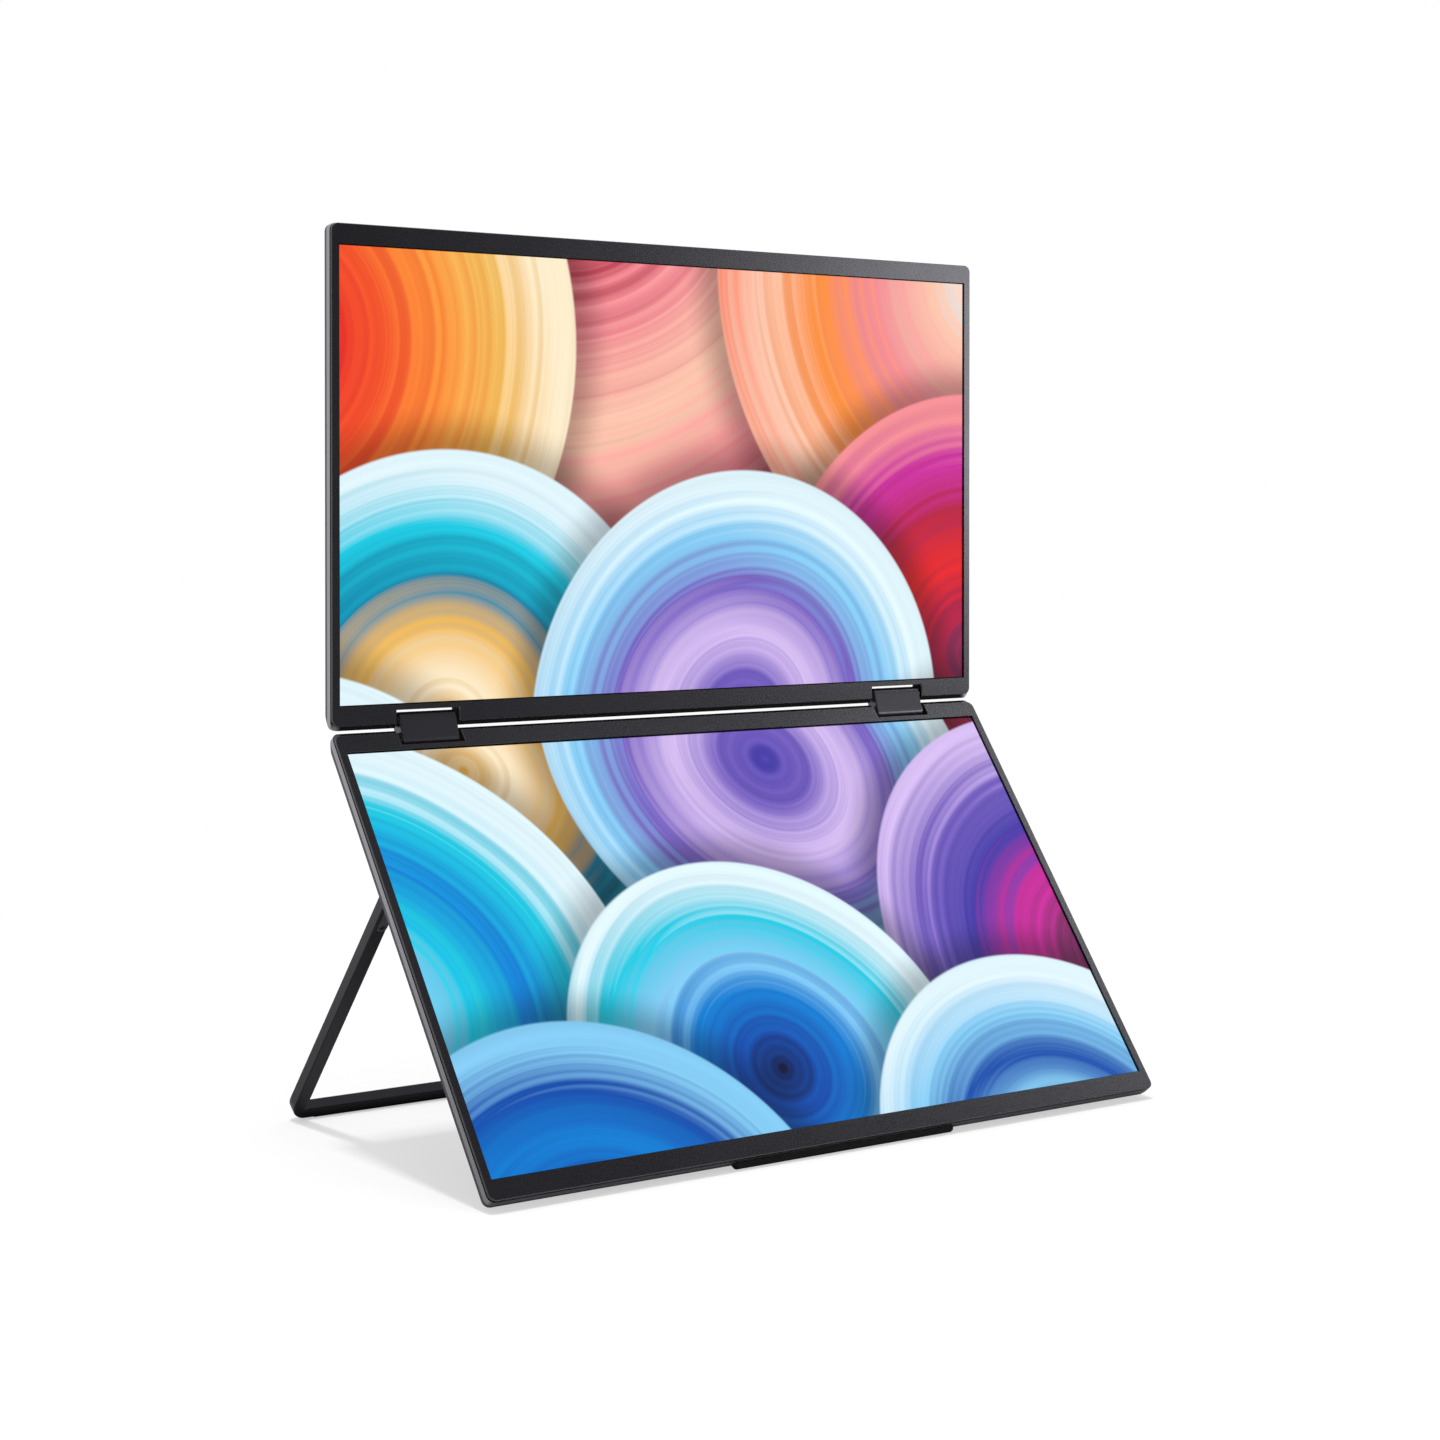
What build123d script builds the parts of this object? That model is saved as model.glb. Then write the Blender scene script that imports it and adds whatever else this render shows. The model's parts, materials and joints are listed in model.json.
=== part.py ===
from build123d import *
from math import acos, atan2, cos, degrees, hypot, radians, sin, tan
import os

# Dual-screen portable monitor. Two equal 15.6 inch panels are joined by a pair of two-axle friction
# hinges. The lower panel leans back, holds the electronics and carries a folding U-shaped stand.
# Millimetres, +X to the viewer's right, +Y away from the viewer, +Z up. The pieces are modelled from
# the hinge line, where the planes of the two front faces meet, and are moved at the end so that Z is 0
# on the table and the middle of the object's box is at X = 0, Y = 0.
# Places on a panel are given as x along the hinge line, a distance away from that line over the
# front face, and a depth behind the front face.

# Lit area of each screen, 15.6 inch at 16:9
screen_width = 344.16
screen_height = 193.59
screen_from_line = 10.74

# Angle that the lower panel leans back from upright, in degrees
lower_lean = 36.87

# Front bezel
bezel_side = 4.1
bezel_near = 8.75
bezel_far = 9.15
bezel_thickness = 1.0
bezel_edge_break = 0.25
window_border = 0.5
groove_height = 0.7
groove_inset = 0.5
lip_width = 0.8

# Rear shell
rim_side = 0.1
rim_near = 1.9
rim_far = 0.1
band_height = 2.8
draft_height = 2.7
draft_inset = 0.3
draft_near_inset = 1.4
shell_wall = 1.5
shell_near_wall = 1.8
shell_floor = 1.2
panel_corner = 5.5
rear_edge = 0.5
rib_width = 1.2
rib_end_gap = 9.0
rib_place_shares = (0.2, 0.4, 0.6, 0.75)

# Display module behind the bezel
lcd_overlap = 1.2
lcd_thickness = 1.2
backlight_thickness = 1.8
light_bar_width = 2.8
light_bar_end_gap = 6.0
driver_board_length = 140.0
driver_board_width = 20.0
driver_board_thickness = 1.0
driver_board_far_gap = 4.0
driver_chip_height = 0.7
driver_chip_shares = ((-0.3, 0.1), (0.0, 0.14), (0.3, 0.1))

# Two-axle friction hinge
hinge_inset = 46.28
block_width = 28.0
block_reach = 3.3
block_corner = 2.7
block_edge = 0.4
block_side_gap = 1.5
block_end_gap = 1.3
block_bore_web = 5.0
axle_from_line = 3.3
axle_depth = 3.5
shaft_radius = 1.25
shaft_end_gap = 1.0
shaft_flat = 0.5
shaft_tail = 12.0
running_clearance = 0.05
seat_clearance = 0.02
clip_wall = 0.7
clip_length = 16.0
clip_slit = 0.6
washer_thickness = 0.6
washer_wall = 1.5
leaf_length = 22.0
leaf_width = 6.6
leaf_thickness = 1.0
leaf_gap = 0.2
leaf_screw_shares = ((0.28, 0.7), (0.84, 0.7))

# Small screw of the hinge leaves, the stand base and the stand leaf
small_screw_radius = 0.9
small_head_radius = 1.8
small_head_height = 0.8
small_screw_bite = 2.2

# Screw of the electronics housing
cover_screw_radius = 1.25
cover_head_radius = 2.3
cover_head_height = 1.1
cross_length_share = 1.2
cross_width_share = 0.28
cross_depth_share = 0.5

# Rubber foot strip under the lower panel
foot_length = 117.0
foot_depth = 4.1
foot_width = 2.8
foot_root = 0.6
foot_height = 2.0
foot_end_slope = 1.2
facet_drop = 0.5

# Folding stand: a U of flat bar on two hinges
stand_inset = 10.93
stand_arm_width = 6.55
stand_bar_width = 6.65
stand_thickness = 5.75
stand_length = 150.7
stand_from_line = 65.6
stand_gap = 0.3
stand_corner = 10.0
stand_inner_corner = 0.8
stand_edge = 0.45
stand_trim = 0.35
stand_pin_radius = 1.5
stand_barrel_radius = 2.7
stand_leaf_reach = 29.8
stand_leaf_thickness = 1.6
stand_leaf_clearance = 0.1
stand_cheek = 1.6
stand_leaf_screw_shares = (0.55, 0.92)
stand_head_radius = 1.4
stand_head_height = 0.7
stand_lug_length = 8.0
stand_lug_gap = 0.4
stand_lug_radius = 2.9
stand_base_width = 14.0
stand_base_length = 20.0
stand_base_thickness = 1.4
stand_base_screw_shares = (0.5, 0.85)
stand_strip_inset = 6.0
stand_strip_width = 4.6
stand_strip_thickness = 2.0

# Electronics housing on the back of the lower panel
housing_stand_gap = 3.5
housing_near = 12.0
housing_far_inset = 17.58
housing_height = 6.0
housing_wall = 1.5
housing_roof = 1.2
housing_corner = 5.0
housing_edge = 1.0
housing_post_radius = 3.4
housing_screw_shares = (
    (-0.91, 0.28),
    (0.91, 0.28),
    (-0.91, 0.94),
    (0.91, 0.94),
    (0.0, 0.94),
    (0.0, 0.55),
)
vent_length = 16.0
vent_width = 1.4
vent_pitch = 4.2
vent_count = 14
cable_window_length = 40.0
cable_window_width = 12.0
cable_window_x = -70.0
cable_window_from_line = 104.0

# Main board
board_gap = 0.4
board_thickness = 1.0
board_length = 172.0
board_near_gap = 3.0
board_width = 42.0
board_wall_gap = 1.5
board_post_radius = 2.2
board_post_inset = 12.0
board_chip_height = 1.6
board_chip_shares = ((-0.32, 0.05, 0.11), (-0.05, -0.08, 0.09), (0.14, 0.16, 0.06))

# Sockets in the housing's right wall
port_recess = 0.3
port_length = 7.2
port_opening_gap = 0.2
port_back = 1.0
usb_width = 8.94
usb_height = 3.2
usb_wall = 0.32
usb_tongue_width = 6.6
usb_tongue_height = 0.7
usb_tongue_setback = 0.6
usb_corner_share = 0.48
usb_first_place = 36.5
usb_pitch = 13.0
hdmi_width = 11.2
hdmi_height = 3.2
hdmi_wall = 0.4
hdmi_side_angle = 72.0
hdmi_tongue_width = 7.6
hdmi_tongue_height = 0.6
hdmi_place = 22.5

# Buttons in the housing's left wall
button_length = 8.0
button_width = 2.6
button_proud = 0.8
button_edge = 0.3
button_gap = 0.15
button_flange = 0.5
button_flange_thickness = 0.8
button_travel = 0.5
button_switch_gap = 0.15
button_corner_share = 0.45
power_place = 23.0
plus_place = 37.0
minus_place = 48.0
switch_size = 3.2
switch_height = 1.2
button_board_margin = 2.5
button_board_thickness = 1.0

# How far cuts run past the faces they open
overrun = 1.0

# Worked-out places on a panel
screen_far = screen_from_line + screen_height
screen_middle = screen_from_line + screen_height / 2
bezel_near_edge = screen_from_line - bezel_near
bezel_far_edge = screen_far + bezel_far
bezel_width = screen_width + 2 * bezel_side
shell_near_edge = bezel_near_edge - rim_near
shell_far_edge = bezel_far_edge + rim_far
shell_middle = (shell_near_edge + shell_far_edge) / 2
shell_width = bezel_width + 2 * rim_side
shell_length = shell_far_edge - shell_near_edge
rim_depth = bezel_thickness + groove_height
draft_depth = rim_depth + band_height
panel_thickness = draft_depth + draft_height
floor_depth = panel_thickness - shell_floor
backlight_depth = bezel_thickness + lcd_thickness
module_back_depth = backlight_depth + backlight_thickness
lcd_width = screen_width + 2 * lcd_overlap

# Worked-out places of the hinge
notch_width = block_width + 2 * block_side_gap
notch_far_edge = axle_from_line + block_reach + block_end_gap
hinge_x = shell_width / 2 - hinge_inset
block_outer_x = hinge_x + block_width / 2
block_inner_x = hinge_x - block_width / 2
notch_wall_x = hinge_x + notch_width / 2
pocket_x = notch_wall_x + shell_wall
shaft_start_x = block_inner_x + block_bore_web + shaft_end_gap
shaft_end_x = pocket_x + shaft_tail
leaf_start_x = pocket_x + leaf_gap
leaf_near_edge = shell_near_edge + shell_near_wall + leaf_gap
leaf_front_depth = axle_depth + shaft_flat
pad_depth = leaf_front_depth + leaf_thickness
clip_inner_radius = shaft_radius + running_clearance
clip_outer_radius = clip_inner_radius + clip_wall

# Worked-out places on the back of the lower panel, where the housing fits between the stand's bases
stand_half_width = shell_width / 2 - stand_inset
stand_inner_x = stand_half_width - stand_arm_width
stand_lug_end_x = stand_inner_x - stand_lug_gap
housing_half = stand_lug_end_x - stand_base_width - housing_stand_gap
housing_width = 2 * housing_half
housing_far = shell_far_edge - housing_far_inset
housing_length = housing_far - housing_near
housing_middle = (housing_near + housing_far) / 2
roof_depth = panel_thickness + housing_height - housing_roof
board_depth = panel_thickness + board_gap
board_back_depth = board_depth + board_thickness
board_right_x = housing_half - housing_wall - board_wall_gap
board_middle_x = board_right_x - board_length / 2
board_middle = housing_near + board_near_gap + board_width / 2
usb_places = (usb_first_place, usb_first_place + usb_pitch)
hdmi_lean = radians(hdmi_side_angle)
hdmi_side_inset = hdmi_wall * (1 / sin(hdmi_lean) + 1 / tan(hdmi_lean))
button_depth = (panel_thickness + roof_depth) / 2
button_places = {"power_button": power_place, "plus_button": plus_place, "minus_button": minus_place}
stand_pivot_depth = panel_thickness + stand_gap + stand_thickness / 2
stand_leaf_end_x = stand_half_width - stand_cheek
stand_leaf_middle_x = (stand_inner_x + stand_leaf_end_x) / 2
stand_leaf_width = stand_leaf_end_x - stand_inner_x - 2 * stand_leaf_clearance
base_middle_x = stand_lug_end_x - stand_base_width / 2
base_near_edge = stand_from_line - stand_lug_radius

# Directions of the lower panel in the upright plane: away from the hinge line, and into its depth
lean = radians(lower_lean)
away_y, away_z = -sin(lean), -cos(lean)
into_y, into_z = cos(lean), -sin(lean)

# The front planes: plane x along the hinge line, plane y away from it, plane z into the depth
lower_face = Plane(origin=(0, 0, 0), x_dir=(1, 0, 0), z_dir=(0, into_y, into_z))
upper_face = Plane(origin=(0, 0, 0), x_dir=(-1, 0, 0), z_dir=(0, 1, 0))


def lower_point(from_line, depth):
    """Upright-plane place (y, z) of a point of the lower panel."""
    return from_line * away_y + depth * into_y, from_line * away_z + depth * into_z


# The table is under the foot strip, whose lowest corner is cut flat
foot_corner_z = lower_point(shell_far_edge + foot_height, foot_depth + foot_width)[1]
table_z = foot_corner_z + facet_drop
table = Plane.XY.offset(table_z)

# The stand opens until its own lowest corner reaches the table
stand_pivot_y, stand_pivot_z = lower_point(stand_from_line, stand_pivot_depth)
stand_reach = hypot(stand_length, stand_thickness / 2)
stand_drop = stand_pivot_z - table_z + facet_drop
stand_swing = acos(stand_drop / stand_reach) + atan2(stand_thickness / 2, stand_length)
stand_plane = Plane(
    origin=(0, stand_pivot_y, stand_pivot_z),
    x_dir=(1, 0, 0),
    z_dir=(0, cos(stand_swing), sin(stand_swing)),
)
stand_front = stand_plane.offset(-stand_thickness / 2)

# The hinge blocks lie along the line that joins the two axles
lower_axle_y, lower_axle_z = lower_point(axle_from_line, axle_depth)
upper_axle_y, upper_axle_z = axle_depth, axle_from_line
axle_spacing = hypot(upper_axle_y - lower_axle_y, upper_axle_z - lower_axle_z)
block_middle_y = (lower_axle_y + upper_axle_y) / 2
block_middle_z = (lower_axle_z + upper_axle_z) / 2

pieces = []


def keep(builder, name):
    """Label a finished piece and put it on the list to write."""
    builder.part.label = name
    pieces.append(builder.part)


def side_plane(face, x):
    """Plane across a panel at x: its x runs away from the hinge line, its y into the depth."""
    return Plane(origin=face.from_local_coords((x, 0, 0)), x_dir=face.y_dir, z_dir=face.x_dir)


def block_plane(x):
    """Plane across a hinge block at x, its own x running from the lower axle to the upper one."""
    along = (0, upper_axle_y - lower_axle_y, upper_axle_z - lower_axle_z)
    return Plane(origin=(x, block_middle_y, block_middle_z), x_dir=along, z_dir=(1, 0, 0))


def stand_side_plane(x):
    """Plane across the stand at x: its x runs down the arm from the pivot, its y to the rear face."""
    return Plane(origin=(x, stand_pivot_y, stand_pivot_z), x_dir=stand_plane.y_dir, z_dir=(1, 0, 0))


def draw_outline(width, near, far, corner, notch_growth):
    """Panel outline with the two hinge notches, grown by the given amount."""
    with Locations((0, (near + far) / 2)):
        RectangleRounded(width, far - near, corner)
    draw_notches(near, notch_growth, Mode.SUBTRACT)


def draw_notches(near, growth, mode):
    """The two hinge notches, open past the near edge."""
    with Locations((-hinge_x, near), (hinge_x, near)):
        Rectangle(notch_width + 2 * growth, 2 * (notch_far_edge + growth - near), mode=mode)


def cut_holes(plane, places, radius, depth):
    """Round holes into the part that is being built."""
    with BuildSketch(plane) as holes:
        with Locations(*places):
            Circle(radius)
    extrude(holes.sketch, amount=depth, mode=Mode.SUBTRACT)


def leaf_screw_places(side):
    """Places of the screws of one hinge leaf."""
    return [
        (side * (leaf_start_x + along * leaf_length), leaf_near_edge + across * leaf_width)
        for along, across in leaf_screw_shares
    ]


def cover_screw_places():
    """Places of the screws that hold the electronics housing."""
    return [(x * housing_half, housing_near + y * housing_length) for x, y in housing_screw_shares]


def base_screw_places(side):
    """Places of the screws of one stand base."""
    x = side * base_middle_x
    return [(x, base_near_edge + share * stand_base_length) for share in stand_base_screw_shares]


def stand_leaf_screw_places(side):
    """Places of the screws of one stand leaf."""
    x = side * stand_leaf_middle_x
    return [(x, share * stand_leaf_reach) for share in stand_leaf_screw_shares]


def draw_stand_leaf(side, start, growth):
    """Stand leaf seen from the front, with its half-round lower end, grown by the given amount."""
    end_radius = stand_leaf_width / 2 + growth
    end_middle = stand_leaf_reach - stand_leaf_width / 2
    with Locations((side * stand_leaf_middle_x, (start + end_middle) / 2)):
        Rectangle(2 * end_radius, end_middle - start)
    with Locations((side * stand_leaf_middle_x, end_middle)):
        Circle(end_radius)


def board_post_places():
    """Places of the posts that carry the main board."""
    half_x = board_length / 2 - board_post_inset
    half_y = board_width / 2 - board_post_radius
    return [(board_middle_x + x * half_x, board_middle + y * half_y) for x in (-1, 1) for y in (-1, 1)]


def screws(plane, places, radius, head_radius, head_height, length):
    """Screws driven along the plane's normal, heads starting on the plane, with a cross recess."""
    with BuildPart() as group:
        with BuildSketch(plane):
            with Locations(*places):
                Circle(head_radius)
        extrude(amount=head_height)
        with BuildSketch(plane.offset(head_height)):
            with Locations(*places):
                Circle(radius)
        extrude(amount=length)
        with BuildSketch(plane):
            with Locations(*places):
                Rectangle(head_radius * cross_length_share, head_radius * cross_width_share)
                Rectangle(head_radius * cross_width_share, head_radius * cross_length_share)
        extrude(amount=head_height * cross_depth_share, mode=Mode.SUBTRACT)
    return group


def rear_shell(face):
    """Tray of one panel: straight band, drafted back, hinge notches, ribs and hinge pads."""
    with BuildPart() as shell:
        with BuildSketch(face.offset(rim_depth)):
            with Locations((0, shell_middle)):
                RectangleRounded(shell_width, shell_length, panel_corner)
        extrude(amount=band_height)
        # drafted back with a broken rear edge, drawn in more along the hinge line, where the panels turn
        for depth, inset, near_inset in (
            (draft_depth, 0, 0),
            (panel_thickness - rear_edge, draft_inset, draft_near_inset),
            (panel_thickness, draft_inset + rear_edge, draft_near_inset + rear_edge),
        ):
            with BuildSketch(face.offset(depth)):
                with Locations((0, shell_middle + (near_inset - inset) / 2)):
                    RectangleRounded(
                        shell_width - 2 * inset,
                        shell_length - near_inset - inset,
                        panel_corner - inset,
                    )
        loft(ruled=True)
        with BuildSketch(face.offset(rim_depth)):
            draw_outline(
                shell_width - 2 * shell_wall,
                shell_near_edge + shell_near_wall,
                shell_far_edge - shell_wall,
                panel_corner - shell_wall,
                shell_wall,
            )
        extrude(amount=floor_depth - rim_depth, mode=Mode.SUBTRACT)
        with BuildSketch(face.offset(rim_depth - overrun)):
            draw_notches(shell_near_edge, 0, Mode.ADD)
        extrude(amount=panel_thickness - rim_depth + 2 * overrun, mode=Mode.SUBTRACT)
        # ribs that carry the display module
        with BuildSketch(face.offset(module_back_depth)):
            with Locations(*[(0, shell_near_edge + share * shell_length) for share in rib_place_shares]):
                Rectangle(shell_width - 2 * (shell_wall + rib_end_gap), rib_width)
        extrude(amount=floor_depth - module_back_depth)
        # raised pads under the hinge leaves, and the slots that the shafts drop into
        for side in (-1, 1):
            with BuildSketch(face.offset(pad_depth)):
                with Locations((side * (leaf_start_x + leaf_length / 2), leaf_near_edge + leaf_width / 2)):
                    Rectangle(leaf_length, leaf_width)
            extrude(amount=floor_depth - pad_depth)
            cut_holes(face.offset(pad_depth), leaf_screw_places(side), small_screw_radius + seat_clearance,
                      small_screw_bite - leaf_thickness)
            with BuildSketch(side_plane(face, side * notch_wall_x)):
                with Locations((axle_from_line, axle_depth)):
                    Circle(shaft_radius + seat_clearance)
                with Locations((axle_from_line, rim_depth)):
                    Rectangle(2 * (shaft_radius + seat_clearance), 2 * (axle_depth - rim_depth))
            extrude(amount=side * shell_wall, mode=Mode.SUBTRACT)
    return shell


def front_bezel(face):
    """Flat frame round the lit area, with a lip that stands on the shell's rim inside the groove."""
    with BuildPart() as bezel:
        with BuildSketch(face):
            draw_outline(bezel_width, bezel_near_edge, bezel_far_edge, panel_corner - rim_side, 0)
        extrude(amount=bezel_thickness)
        chamfer(bezel.faces().sort_by(Axis(face.origin, face.z_dir))[0].edges(), bezel_edge_break)
        with BuildSketch(face):
            with Locations((0, screen_middle)):
                Rectangle(screen_width + 2 * window_border, screen_height + 2 * window_border)
        extrude(amount=bezel_thickness, mode=Mode.SUBTRACT)
        lip_inset = groove_inset + lip_width
        with BuildSketch(face.offset(bezel_thickness)):
            draw_outline(
                bezel_width - 2 * groove_inset,
                bezel_near_edge + groove_inset,
                bezel_far_edge - groove_inset,
                panel_corner - rim_side - groove_inset,
                groove_inset,
            )
            with Locations((0, (bezel_near_edge + bezel_far_edge) / 2)):
                RectangleRounded(
                    bezel_width - 2 * lip_inset,
                    bezel_far_edge - bezel_near_edge - 2 * lip_inset,
                    panel_corner - rim_side - lip_inset,
                    mode=Mode.SUBTRACT,
                )
            # the lip also goes round each notch
            lip_near = bezel_near_edge + groove_inset
            lip_far = notch_far_edge + lip_inset
            with Locations(*[(side * hinge_x, (lip_near + lip_far) / 2) for side in (-1, 1)]):
                Rectangle(notch_width + 2 * lip_inset, lip_far - lip_near)
            draw_notches(bezel_near_edge, groove_inset, Mode.SUBTRACT)
        extrude(amount=groove_height)
    return bezel


def flat_plate(face, depth, thickness, width, near, far):
    """Plain plate behind the front face."""
    with BuildPart() as plate:
        with BuildSketch(face.offset(depth)):
            with Locations((0, (near + far) / 2)):
                Rectangle(width, far - near)
        extrude(amount=thickness)
    return plate


def driver_board(face):
    """Display driver board on the shell's floor, with its chips."""
    middle = screen_far - driver_board_far_gap - driver_board_width / 2
    with BuildPart() as board:
        with BuildSketch(face.offset(floor_depth - driver_board_thickness)):
            with Locations((0, middle)):
                Rectangle(driver_board_length, driver_board_width)
        extrude(amount=driver_board_thickness)
        with BuildSketch(face.offset(floor_depth - driver_board_thickness)):
            for place, size in driver_chip_shares:
                with Locations((place * driver_board_length, middle)):
                    Rectangle(size * driver_board_length, driver_board_width / 2)
        extrude(amount=-driver_chip_height)
    return board


def hinge_leaf(face, side):
    """Steel leaf on its pad, under the flat tail of the shaft."""
    with BuildPart() as leaf:
        with BuildSketch(face.offset(leaf_front_depth)):
            with Locations((side * (leaf_start_x + leaf_length / 2), leaf_near_edge + leaf_width / 2)):
                Rectangle(leaf_length, leaf_width)
        extrude(amount=leaf_thickness)
        cut_holes(face.offset(leaf_front_depth), leaf_screw_places(side), small_screw_radius + seat_clearance,
                  leaf_thickness)
    return leaf


def hinge_shafts(face):
    """The two shafts of one panel, each with a flat tail that lies on its leaf."""
    with BuildPart() as shafts:
        for side in (-1, 1):
            with BuildSketch(side_plane(face, side * shaft_start_x)):
                with Locations((axle_from_line, axle_depth)):
                    Circle(shaft_radius)
            extrude(amount=side * (shaft_end_x - shaft_start_x))
            with BuildSketch(side_plane(face, side * pocket_x)):
                with Locations((axle_from_line, leaf_front_depth + shaft_radius)):
                    Rectangle(2 * shaft_radius + overrun, 2 * shaft_radius)
            extrude(amount=side * (shaft_tail + overrun), mode=Mode.SUBTRACT)
    return shafts


def leaf_screws(face):
    """The screws of both hinge leaves of one panel."""
    places = leaf_screw_places(-1) + leaf_screw_places(1)
    head_plane = face.offset(leaf_front_depth - small_head_height)
    return screws(head_plane, places, small_screw_radius, small_head_radius, small_head_height,
                  small_screw_bite)


def hinge_block(side):
    """Rounded block that joins the two axles, bored from its outer end for the friction clips."""
    bore_radius = clip_outer_radius + seat_clearance
    with BuildPart() as block:
        with BuildSketch(block_plane(side * block_inner_x)):
            RectangleRounded(axle_spacing + 2 * block_reach, 2 * block_reach, block_corner)
        extrude(amount=side * block_width)
        chamfer(block.faces().filter_by(Axis.X).edges(), block_edge)
        with BuildSketch(block_plane(side * (block_inner_x + block_bore_web))):
            with Locations((-axle_spacing / 2, 0), (axle_spacing / 2, 0)):
                Circle(bore_radius)
        extrude(amount=side * block_width, mode=Mode.SUBTRACT)
    return block


def rings(start_x, length, inner_radius, outer_radius, slit):
    """Rings round all four shafts, split where a slit is given."""
    with BuildPart() as group:
        for side in (-1, 1):
            with BuildSketch(block_plane(side * start_x)):
                with Locations((-axle_spacing / 2, 0), (axle_spacing / 2, 0)):
                    Circle(outer_radius)
                    Circle(inner_radius, mode=Mode.SUBTRACT)
                if slit:
                    with Locations((-axle_spacing / 2, outer_radius), (axle_spacing / 2, outer_radius)):
                        Rectangle(slit, 2 * outer_radius, mode=Mode.SUBTRACT)
            extrude(amount=side * length)
    return group


def stand_base(side):
    """Plate on the lower panel's back with the lug that holds the stand pin."""
    with BuildPart() as base:
        with BuildSketch(lower_face.offset(panel_thickness)):
            with Locations((side * base_middle_x, base_near_edge + stand_base_length / 2)):
                Rectangle(stand_base_width, stand_base_length)
        extrude(amount=stand_base_thickness)
        with BuildSketch(side_plane(lower_face, side * (stand_lug_end_x - stand_lug_length))):
            with Locations((stand_from_line, stand_pivot_depth)):
                Circle(stand_lug_radius)
            with Locations((stand_from_line, (panel_thickness + stand_pivot_depth) / 2)):
                Rectangle(2 * stand_lug_radius, stand_pivot_depth - panel_thickness)
            with Locations((stand_from_line, stand_pivot_depth)):
                Circle(stand_pin_radius + seat_clearance, mode=Mode.SUBTRACT)
        extrude(amount=side * stand_lug_length)
        cut_holes(lower_face.offset(panel_thickness), base_screw_places(side),
                  small_screw_radius + seat_clearance, stand_base_thickness)
    return base


def stand_leaf(side):
    """Hinge leaf let into the arm's front face, with the barrel that turns on the stand pin."""
    start_x = stand_inner_x + stand_leaf_clearance
    with BuildPart() as leaf:
        with BuildSketch(stand_front):
            draw_stand_leaf(side, 0, 0)
        extrude(amount=stand_leaf_thickness)
        with BuildSketch(stand_side_plane(side * start_x)):
            Circle(stand_barrel_radius)
        extrude(amount=side * stand_leaf_width)
        with BuildSketch(stand_side_plane(side * start_x)):
            Circle(stand_pin_radius + running_clearance)
        extrude(amount=side * stand_leaf_width, mode=Mode.SUBTRACT)
        cut_holes(stand_front, stand_leaf_screw_places(side), stand_head_radius + seat_clearance,
                  stand_head_height)
        cut_holes(stand_front, stand_leaf_screw_places(side), small_screw_radius + seat_clearance,
                  stand_leaf_thickness)
    return leaf


def stand_arm_end(side):
    """Rounded top end of an arm, round the pivot."""
    with BuildPart() as end:
        with BuildSketch(stand_side_plane(side * stand_inner_x)):
            Circle(stand_thickness / 2)
        extrude(amount=side * stand_arm_width)
        chamfer(end.edges().filter_by(GeomType.CIRCLE), stand_edge)
    return end


def stand_u():
    """The U of flat bar, from the pivot line to the table end, with broken edges."""
    with BuildPart() as bar:
        with BuildSketch(stand_front) as outline:
            with Locations((0, stand_length / 2)):
                Rectangle(2 * stand_half_width, stand_length)
            fillet(outline.vertices().group_by(Axis.Y)[-1], stand_corner)
        extrude(amount=stand_thickness)
        with BuildSketch(stand_front) as inside:
            with Locations((0, (stand_length - stand_bar_width) / 2)):
                Rectangle(2 * stand_inner_x, stand_length - stand_bar_width)
            fillet(inside.vertices().group_by(Axis.Y)[-1], stand_inner_corner)
        extrude(amount=stand_thickness, mode=Mode.SUBTRACT)
        down = Axis(stand_plane.origin, stand_plane.y_dir)
        ends = bar.faces().filter_by(down).sort_by(down)[:2].edges()
        through = Axis(stand_plane.origin, stand_plane.z_dir)
        flats = bar.faces().filter_by(through).edges()
        chamfer([edge for edge in flats if edge not in ends], stand_edge)
    return bar


# Lower panel
lower_tray = rear_shell(lower_face)
with BuildPart() as lower_rear_shell:
    add(lower_tray.part)
    # recess for the rubber foot
    with BuildSketch(lower_face.offset(foot_depth)):
        with Locations((0, shell_far_edge)):
            Rectangle(foot_length, 2 * foot_root)
    extrude(amount=foot_width, mode=Mode.SUBTRACT)
    # cable window and screw holes under the electronics housing, and screw holes of the stand bases
    with BuildSketch(lower_face.offset(floor_depth)):
        with Locations((cable_window_x, cable_window_from_line)):
            Rectangle(cable_window_length, cable_window_width)
    extrude(amount=shell_floor, mode=Mode.SUBTRACT)
    cut_holes(lower_face.offset(floor_depth), cover_screw_places(), cover_screw_radius + seat_clearance,
              shell_floor)
    for side in (-1, 1):
        cut_holes(lower_face.offset(floor_depth), base_screw_places(side),
                  small_screw_radius + seat_clearance, shell_floor)
keep(lower_rear_shell, "lower_rear_shell")

upper_rear_shell = rear_shell(upper_face)
keep(upper_rear_shell, "upper_rear_shell")

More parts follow.
